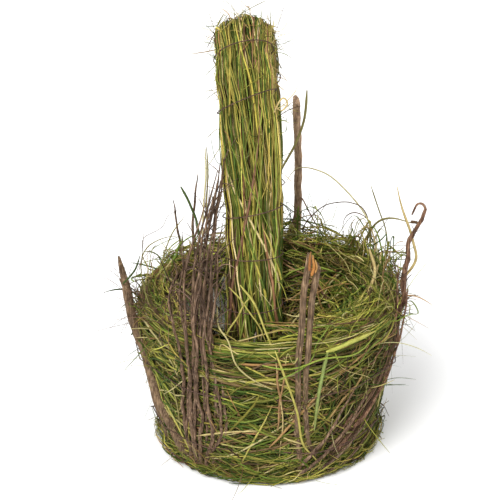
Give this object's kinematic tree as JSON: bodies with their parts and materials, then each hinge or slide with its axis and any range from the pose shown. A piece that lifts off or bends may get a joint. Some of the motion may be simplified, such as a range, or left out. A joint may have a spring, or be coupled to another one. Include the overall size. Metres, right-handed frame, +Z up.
{
  "type": "easter basket",
  "caption": "Round grass-covered planting basket with a clear film liner, upright twigs bound round the outside and a tall arched grass handle.",
  "frame": {"origin": "centre of the flat underside, on the surface the basket stands on", "axes": "+Z up; the front, where two thick sticks stand, is -Y; the handle's arch stands near the YZ plane, turned 7.5 degrees towards +X at the rear"},
  "size_m": [0.2944, 0.2706, 0.4315],
  "materials": {
    "outer_grass": "matte",
    "lining_grass": "matte",
    "handle_grass": "matte",
    "straw": "matte",
    "bark": "matte",
    "frame_wire": "satin",
    "binding_wire": "satin",
    "clear_film": "gloss"
  },
  "bodies": {
    "root": {"back_arch_stem": "straw", "back_stick": "bark", "base_cross_wire_1": "frame_wire", "base_cross_wire_2": "frame_wire", "base_ring": "frame_wire", "brown_tip_stem": "straw", "fan_twig_1": "bark", "fan_twig_2": "bark", "fan_twig_3": "bark", "fan_twig_4": "bark", "film_liner": "clear_film", "front_stick_left": "bark", "front_stick_right": "bark", "grass_base": "outer_grass", "grass_handle": "handle_grass", "grass_lining": "lining_grass", "grass_wall": "outer_grass", "handle_core_wire": "frame_wire", "handle_tie_1": "binding_wire", "handle_tie_2": "binding_wire", "handle_tie_3": "binding_wire", "handle_tie_4": "binding_wire", "handle_tie_5": "binding_wire", "handle_tie_6": "binding_wire", "handle_tie_7": "binding_wire", "left_bundle_twig_1": "bark", "left_bundle_twig_2": "bark", "left_bundle_twig_3": "bark", "left_bundle_twig_4": "bark", "left_bundle_twig_5": "bark", "left_bundle_twig_6": "bark", "left_bundle_twig_7": "bark", "left_bundle_twig_8": "bark", "left_loop_stem": "straw", "left_stick_front": "bark", "left_stick_rear": "bark", "lower_binding": "binding_wire", "middle_ring": "frame_wire", "rear_bundle_twig_1": "bark", "rear_bundle_twig_2": "bark", "rear_bundle_twig_3": "bark", "rib_wire_1": "frame_wire", "rib_wire_2": "frame_wire", "rib_wire_3": "frame_wire", "rib_wire_4": "frame_wire", "rib_wire_5": "frame_wire", "rib_wire_6": "frame_wire", "rib_wire_7": "frame_wire", "rib_wire_8": "frame_wire", "right_bundle_twig_1": "bark", "right_bundle_twig_2": "bark", "right_bundle_twig_3": "bark", "right_bundle_twig_4": "bark", "right_bundle_twig_5": "bark", "right_straw_stem": "straw", "rim_ring": "frame_wire", "rim_twig": "bark", "tall_yellow_stem": "straw", "upper_binding": "binding_wire"}
  },
  "joints": []
}
